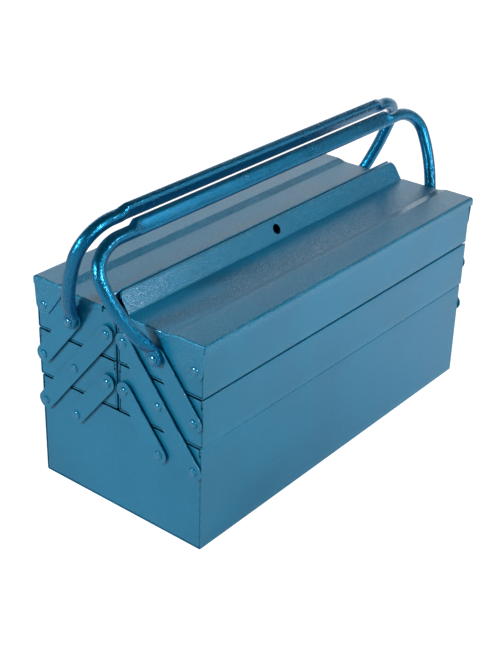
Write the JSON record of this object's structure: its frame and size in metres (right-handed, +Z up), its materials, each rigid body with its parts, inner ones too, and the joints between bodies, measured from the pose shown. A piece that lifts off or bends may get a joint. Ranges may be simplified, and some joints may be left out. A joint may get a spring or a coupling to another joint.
{
  "type": "cantilever toolbox",
  "caption": "Blue enamelled sheet-steel toolbox: a base with tiers of trays that swing out on riveted arms, hinged lids with a padlock ridge, and folding tube handles.",
  "frame": {"origin": "on the ground, at the middle of the base's underside", "axes": "+Z up; +X along the box's length; the front side, with the more spread handle, faces -Y"},
  "size_m": [0.5074, 0.2052, 0.2977],
  "materials": {
    "body_blue": "mid-blue hammertone enamel on sheet steel, semi-gloss",
    "lid_blue": "mid-blue hammertone enamel on sheet steel, semi-gloss, worn to a paler blue on folded edges",
    "handle_blue": "deeper blue hammertone enamel on steel tube, semi-gloss",
    "arm_blue": "mid-blue hammertone enamel on flat steel bar, semi-gloss",
    "rivet_blue": "blue hammertone enamel over steel rivets, glossy domes"
  },
  "bodies": {
    "base": {"base_wrap": "body_blue", "base_end_left": "body_blue", "base_end_right": "body_blue", "front_rivet_long_base_left": "rivet_blue", "front_rivet_long_base_right": "rivet_blue", "front_rivet_lower_base_left": "rivet_blue", "front_rivet_lower_base_right": "rivet_blue", "rear_rivet_long_base_left": "rivet_blue", "rear_rivet_long_base_right": "rivet_blue", "rear_rivet_lower_base_left": "rivet_blue", "rear_rivet_lower_base_right": "rivet_blue"},
    "front_long_arms": {"front_long_arm_left": "arm_blue", "front_long_arm_right": "arm_blue"},
    "front_lower_arms": {"front_lower_arm_left": "arm_blue", "front_lower_arm_right": "arm_blue"},
    "front_upper_arms": {"front_upper_arm_left": "arm_blue", "front_upper_arm_right": "arm_blue"},
    "front_mid_tray": {"front_mid_tray_wrap": "body_blue", "front_mid_tray_end_left": "body_blue", "front_mid_tray_end_right": "body_blue", "front_rivet_long_mid_left": "rivet_blue", "front_rivet_long_mid_right": "rivet_blue", "front_rivet_lower_mid_left": "rivet_blue", "front_rivet_lower_mid_right": "rivet_blue", "front_rivet_upper_mid_left": "rivet_blue", "front_rivet_upper_mid_right": "rivet_blue"},
    "front_top_tray": {"front_top_tray_wrap": "body_blue", "front_top_tray_end_left": "body_blue", "front_top_tray_end_right": "body_blue", "front_rivet_long_top_left": "rivet_blue", "front_rivet_long_top_right": "rivet_blue", "front_rivet_upper_top_left": "rivet_blue", "front_rivet_upper_top_right": "rivet_blue"},
    "front_lid": {"front_lid": "lid_blue"},
    "front_handle": {"front_handle": "handle_blue"},
    "rear_long_arms": {"rear_long_arm_left": "arm_blue", "rear_long_arm_right": "arm_blue"},
    "rear_lower_arms": {"rear_lower_arm_left": "arm_blue", "rear_lower_arm_right": "arm_blue"},
    "rear_upper_arms": {"rear_upper_arm_left": "arm_blue", "rear_upper_arm_right": "arm_blue"},
    "rear_mid_tray": {"rear_mid_tray_wrap": "body_blue", "rear_mid_tray_end_left": "body_blue", "rear_mid_tray_end_right": "body_blue", "rear_rivet_long_mid_left": "rivet_blue", "rear_rivet_long_mid_right": "rivet_blue", "rear_rivet_lower_mid_left": "rivet_blue", "rear_rivet_lower_mid_right": "rivet_blue", "rear_rivet_upper_mid_left": "rivet_blue", "rear_rivet_upper_mid_right": "rivet_blue"},
    "rear_top_tray": {"rear_top_tray_wrap": "body_blue", "rear_top_tray_end_left": "body_blue", "rear_top_tray_end_right": "body_blue", "rear_rivet_long_top_left": "rivet_blue", "rear_rivet_long_top_right": "rivet_blue", "rear_rivet_upper_top_left": "rivet_blue", "rear_rivet_upper_top_right": "rivet_blue"},
    "rear_lid": {"rear_lid": "lid_blue"},
    "rear_handle": {"rear_handle": "handle_blue"}
  },
  "joints": [
    {"name": "front_arms_swing", "type": "hinge", "parent": "base", "child": "front_long_arms", "pos_m": [0, -0.0915, 0.083], "axis": [1, 0, 0], "range_deg": [0, 78.58]},
    {"name": "front_mid_tray_pivot", "type": "hinge", "parent": "front_long_arms", "child": "front_mid_tray", "pos_m": [0, -0.051, 0.1325], "axis": [1, 0, 0], "range_deg": [-79, 0.4]},
    {"name": "front_top_tray_pivot", "type": "hinge", "parent": "front_long_arms", "child": "front_top_tray", "pos_m": [0, -0.0105, 0.182], "axis": [1, 0, 0], "range_deg": [-79, 0.4]},
    {"name": "front_lower_arms_swing", "type": "hinge", "parent": "base", "child": "front_lower_arms", "pos_m": [0, -0.051, 0.083], "axis": [1, 0, 0], "range_deg": [-0.4, 79]},
    {"name": "front_upper_arms_swing", "type": "hinge", "parent": "front_mid_tray", "child": "front_upper_arms", "pos_m": [0, -0.0915, 0.1325], "axis": [1, 0, 0], "range_deg": [-0.4, 79]},
    {"name": "front_handle_swing", "type": "hinge", "parent": "front_top_tray", "child": "front_handle", "pos_m": [0, -0.051, 0.182], "axis": [1, 0, 0], "range_deg": [0, 170]},
    {"name": "front_lid_hinge", "type": "hinge", "parent": "front_top_tray", "child": "front_lid", "pos_m": [0, -0.0908, 0.1829], "axis": [1, 0, 0], "range_deg": [0, 115]},
    {"name": "rear_arms_swing", "type": "hinge", "parent": "base", "child": "rear_long_arms", "pos_m": [0, 0.0915, 0.083], "axis": [-1, 0, 0], "range_deg": [0, 78.58]},
    {"name": "rear_mid_tray_pivot", "type": "hinge", "parent": "rear_long_arms", "child": "rear_mid_tray", "pos_m": [0, 0.051, 0.1325], "axis": [-1, 0, 0], "range_deg": [-79, 0.4]},
    {"name": "rear_top_tray_pivot", "type": "hinge", "parent": "rear_long_arms", "child": "rear_top_tray", "pos_m": [0, 0.0105, 0.182], "axis": [-1, 0, 0], "range_deg": [-79, 0.4]},
    {"name": "rear_lower_arms_swing", "type": "hinge", "parent": "base", "child": "rear_lower_arms", "pos_m": [0, 0.051, 0.083], "axis": [-1, 0, 0], "range_deg": [-0.4, 79]},
    {"name": "rear_upper_arms_swing", "type": "hinge", "parent": "rear_mid_tray", "child": "rear_upper_arms", "pos_m": [0, 0.0915, 0.1325], "axis": [-1, 0, 0], "range_deg": [-0.4, 79]},
    {"name": "rear_handle_swing", "type": "hinge", "parent": "rear_top_tray", "child": "rear_handle", "pos_m": [0, 0.051, 0.182], "axis": [-1, 0, 0], "range_deg": [0, 166]},
    {"name": "rear_lid_hinge", "type": "hinge", "parent": "rear_top_tray", "child": "rear_lid", "pos_m": [0, 0.0908, 0.1829], "axis": [-1, 0, 0], "range_deg": [0, 115]}
  ],
  "couplings": [
    {"joint": "front_mid_tray_pivot", "follows": "front_arms_swing", "ratio": -1},
    {"joint": "front_top_tray_pivot", "follows": "front_arms_swing", "ratio": -1},
    {"joint": "front_lower_arms_swing", "follows": "front_arms_swing", "ratio": 1},
    {"joint": "front_upper_arms_swing", "follows": "front_arms_swing", "ratio": 1},
    {"joint": "rear_mid_tray_pivot", "follows": "rear_arms_swing", "ratio": -1},
    {"joint": "rear_top_tray_pivot", "follows": "rear_arms_swing", "ratio": -1},
    {"joint": "rear_lower_arms_swing", "follows": "rear_arms_swing", "ratio": 1},
    {"joint": "rear_upper_arms_swing", "follows": "rear_arms_swing", "ratio": 1}
  ]
}
